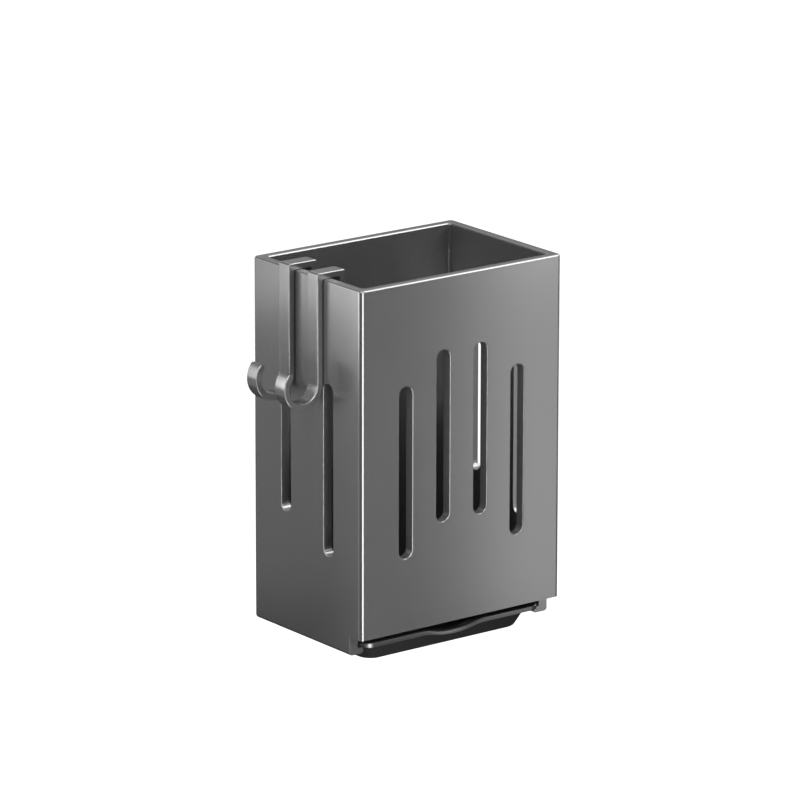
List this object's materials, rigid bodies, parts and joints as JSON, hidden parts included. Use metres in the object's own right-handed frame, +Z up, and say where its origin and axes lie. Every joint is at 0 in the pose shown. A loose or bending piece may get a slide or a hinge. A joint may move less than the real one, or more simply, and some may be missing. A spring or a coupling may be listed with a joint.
{
  "type": "wall-mounted chopstick holder",
  "caption": "Open-topped, wall-hung chopstick holder: slotted metal shell, drain floor, drip tray that pulls out under the front wall, and loose hooks that hang over the side rim.",
  "frame": {"origin": "on the rear face that lies against the wall, midway between the round entries of the two keyholes", "axes": "+X to the right seen from the front, +Y into the wall, +Z up"},
  "size_m": [0.1013, 0.061, 0.1346],
  "materials": {
    "shell_metal": "satin gunmetal grey",
    "hook_metal": "satin gunmetal grey",
    "floor_plastic": "matte black",
    "tray_plastic": "matte black"
  },
  "bodies": {
    "holder": {"shell": "shell_metal", "drain_floor": "floor_plastic"},
    "drip_tray": {"drip_tray": "tray_plastic"},
    "hook_front": {"hook_front": "hook_metal"},
    "hook_rear": {"hook_rear": "hook_metal"}
  },
  "joints": [
    {"name": "tray_slide", "type": "slide", "parent": "holder", "child": "drip_tray", "axis": [0, -1, 0], "range_m": [0, 0.058]},
    {"name": "hook_front_lift", "type": "slide", "parent": "holder", "child": "hook_front", "axis": [0, 0, 1], "range_m": [0, 0.014]},
    {"name": "hook_rear_lift", "type": "slide", "parent": "holder", "child": "hook_rear", "axis": [0, 0, 1], "range_m": [0, 0.014]}
  ]
}
